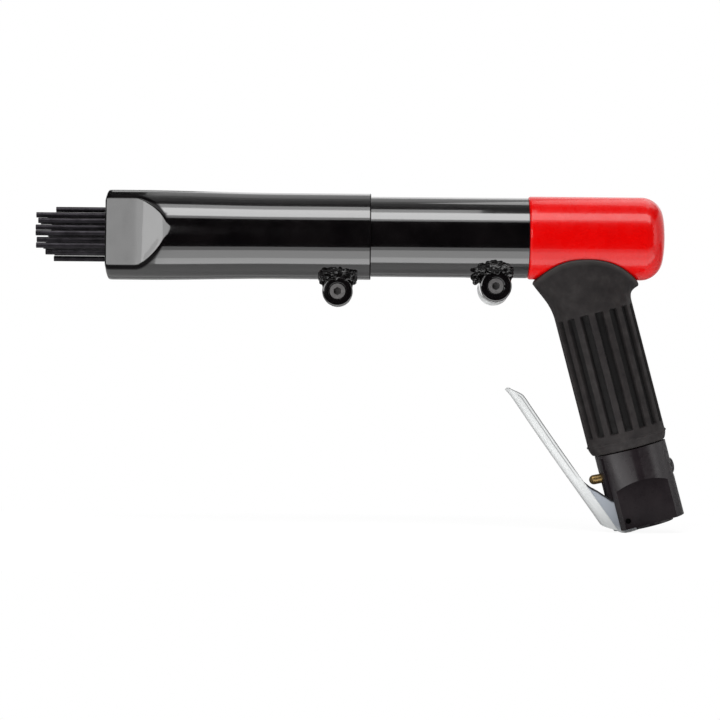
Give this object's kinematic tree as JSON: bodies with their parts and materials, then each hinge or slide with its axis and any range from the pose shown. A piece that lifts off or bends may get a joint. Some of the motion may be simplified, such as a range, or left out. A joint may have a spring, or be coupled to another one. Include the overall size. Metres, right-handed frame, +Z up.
{
  "type": "needle scaler",
  "caption": "Pistol-grip air needle scaler: steel needles in a black two-part tube with clamp lugs, a red striker housing, a ribbed rubber grip and a bright throttle lever.",
  "frame": {"origin": "mouth of the air inlet, on the handle's axis", "axes": "+X along the barrel to the rear, the needles point to -X; +Y across the tool; +Z up"},
  "size_m": [0.3603, 0.0496, 0.1872],
  "materials": {
    "black_enamel": "gloss black enamel",
    "red_enamel": "gloss red enamel on cast aluminium",
    "grip_rubber": "matt moulded rubber",
    "blackened_steel": "matt blackened steel",
    "bright_steel": "bright zinc plate",
    "needle_steel": "dark drawn steel",
    "machined_steel": "ground steel",
    "screw_steel": "plain steel",
    "spring_steel": "oiled spring wire",
    "bronze": "turned brass",
    "seal_rubber": "smooth seal rubber"
  },
  "bodies": {
    "body": {"middle_tube": "black_enamel", "rear_clamp_screw": "screw_steel", "rear_clamp_nut": "screw_steel", "rear_clamp_washer": "bright_steel", "needle_return_spring": "spring_steel", "anvil_bush": "bronze", "anvil_buffer": "seal_rubber", "cylinder": "machined_steel", "cylinder_seal": "seal_rubber", "valve_seat": "machined_steel", "valve_cap": "machined_steel", "valve_dowel": "spring_steel", "main_housing": "red_enamel", "rubber_grip": "grip_rubber", "throttle_block": "blackened_steel", "block_seal": "seal_rubber", "lever_pin": "blackened_steel", "stem_bush": "bronze", "throttle_spring": "spring_steel", "valve_plug": "blackened_steel", "plug_seal": "seal_rubber", "inlet_bush": "machined_steel", "inlet_filter": "bronze"},
    "front_tube": {"front_tube": "black_enamel", "front_clamp_screw": "screw_steel", "front_clamp_nut": "screw_steel"},
    "needle_holder": {"needle_holder": "machined_steel"},
    "anvil": {"anvil": "machined_steel"},
    "piston": {"piston": "machined_steel"},
    "valve_disc": {"valve_disc": "machined_steel"},
    "throttle_lever": {"throttle_lever": "bright_steel"},
    "throttle_stem": {"throttle_stem": "bronze", "stem_seal": "seal_rubber"},
    "needle_01": {"needle_01": "needle_steel"},
    "needle_02": {"needle_02": "needle_steel"},
    "needle_03": {"needle_03": "needle_steel"},
    "needle_04": {"needle_04": "needle_steel"},
    "needle_05": {"needle_05": "needle_steel"},
    "needle_06": {"needle_06": "needle_steel"},
    "needle_07": {"needle_07": "needle_steel"},
    "needle_08": {"needle_08": "needle_steel"},
    "needle_09": {"needle_09": "needle_steel"},
    "needle_10": {"needle_10": "needle_steel"},
    "needle_11": {"needle_11": "needle_steel"},
    "needle_12": {"needle_12": "needle_steel"},
    "needle_13": {"needle_13": "needle_steel"},
    "needle_14": {"needle_14": "needle_steel"},
    "needle_15": {"needle_15": "needle_steel"},
    "needle_16": {"needle_16": "needle_steel"},
    "needle_17": {"needle_17": "needle_steel"},
    "needle_18": {"needle_18": "needle_steel"},
    "needle_19": {"needle_19": "needle_steel"}
  },
  "joints": [
    {"name": "front_tube_slide", "type": "slide", "parent": "body", "child": "front_tube", "axis": [1, 0, 0], "range_m": [-0.02, 0.05]},
    {"name": "throttle_lever_hinge", "type": "hinge", "parent": "body", "child": "throttle_lever", "pos_m": [-0.01334, 0, 0.00264], "axis": [0, 1, 0], "range_deg": [0, 16], "stiffness_Nm_per_rad": 0.8, "springref_deg": -5.73},
    {"name": "throttle_stem_slide", "type": "slide", "parent": "body", "child": "throttle_stem", "axis": [0.981, 0, 0.1942], "range_m": [0, 0.0016], "stiffness_N_per_m": 0.1, "springref_m": 0.1395, "deforming": ["throttle_spring"]},
    {"name": "anvil_slide", "type": "slide", "parent": "body", "child": "anvil", "axis": [-1, 0, 0], "range_m": [0, 0.008]},
    {"name": "needle_holder_slide", "type": "slide", "parent": "body", "child": "needle_holder", "axis": [-1, 0, 0], "range_m": [0, 0.008], "stiffness_N_per_m": 2000, "springref_m": -0.004, "deforming": ["needle_return_spring"]},
    {"name": "piston_slide", "type": "slide", "parent": "body", "child": "piston", "axis": [1, 0, 0], "range_m": [0, 0.017]},
    {"name": "valve_disc_slide", "type": "slide", "parent": "body", "child": "valve_disc", "axis": [1, 0, 0], "range_m": [0, 0.0008]},
    {"name": "needle_01_slide", "type": "slide", "parent": "needle_holder", "child": "needle_01", "axis": [-1, 0, 0], "range_m": [-0.0099, 0.0011]},
    {"name": "needle_02_slide", "type": "slide", "parent": "needle_holder", "child": "needle_02", "axis": [-1, 0, 0], "range_m": [-0.0102, 0.0008]},
    {"name": "needle_03_slide", "type": "slide", "parent": "needle_holder", "child": "needle_03", "axis": [-1, 0, 0], "range_m": [-0.0088, 0.0022]},
    {"name": "needle_04_slide", "type": "slide", "parent": "needle_holder", "child": "needle_04", "axis": [-1, 0, 0], "range_m": [-0.0055, 0.0055]},
    {"name": "needle_05_slide", "type": "slide", "parent": "needle_holder", "child": "needle_05", "axis": [-1, 0, 0], "range_m": [-0.0104, 0.0006]},
    {"name": "needle_06_slide", "type": "slide", "parent": "needle_holder", "child": "needle_06", "axis": [-1, 0, 0], "range_m": [-0.011, 0]},
    {"name": "needle_07_slide", "type": "slide", "parent": "needle_holder", "child": "needle_07", "axis": [-1, 0, 0], "range_m": [-0.0107, 0.0003]},
    {"name": "needle_08_slide", "type": "slide", "parent": "needle_holder", "child": "needle_08", "axis": [-1, 0, 0], "range_m": [-0.0016, 0.0094]},
    {"name": "needle_09_slide", "type": "slide", "parent": "needle_holder", "child": "needle_09", "axis": [-1, 0, 0], "range_m": [-0.0075, 0.0035]},
    {"name": "needle_10_slide", "type": "slide", "parent": "needle_holder", "child": "needle_10", "axis": [-1, 0, 0], "range_m": [-0.005, 0.006]},
    {"name": "needle_11_slide", "type": "slide", "parent": "needle_holder", "child": "needle_11", "axis": [-1, 0, 0], "range_m": [-0.009, 0.002]},
    {"name": "needle_12_slide", "type": "slide", "parent": "needle_holder", "child": "needle_12", "axis": [-1, 0, 0], "range_m": [-0.0005, 0.0105]},
    {"name": "needle_13_slide", "type": "slide", "parent": "needle_holder", "child": "needle_13", "axis": [-1, 0, 0], "range_m": [-0.0021, 0.0089]},
    {"name": "needle_14_slide", "type": "slide", "parent": "needle_holder", "child": "needle_14", "axis": [-1, 0, 0], "range_m": [-0.007, 0.004]},
    {"name": "needle_15_slide", "type": "slide", "parent": "needle_holder", "child": "needle_15", "axis": [-1, 0, 0], "range_m": [-0.004, 0.007]},
    {"name": "needle_16_slide", "type": "slide", "parent": "needle_holder", "child": "needle_16", "axis": [-1, 0, 0], "range_m": [-0.006, 0.005]},
    {"name": "needle_17_slide", "type": "slide", "parent": "needle_holder", "child": "needle_17", "axis": [-1, 0, 0], "range_m": [-0.008, 0.003]},
    {"name": "needle_18_slide", "type": "slide", "parent": "needle_holder", "child": "needle_18", "axis": [-1, 0, 0], "range_m": [-0.006, 0.005]},
    {"name": "needle_19_slide", "type": "slide", "parent": "needle_holder", "child": "needle_19", "axis": [-1, 0, 0], "range_m": [-0.0045, 0.0065]}
  ],
  "couplings": [
    {"joint": "throttle_stem_slide", "follows": "throttle_lever_hinge", "m_per_rad": 0.005371},
    {"joint": "anvil_slide", "follows": "needle_holder_slide", "ratio": 1}
  ]
}
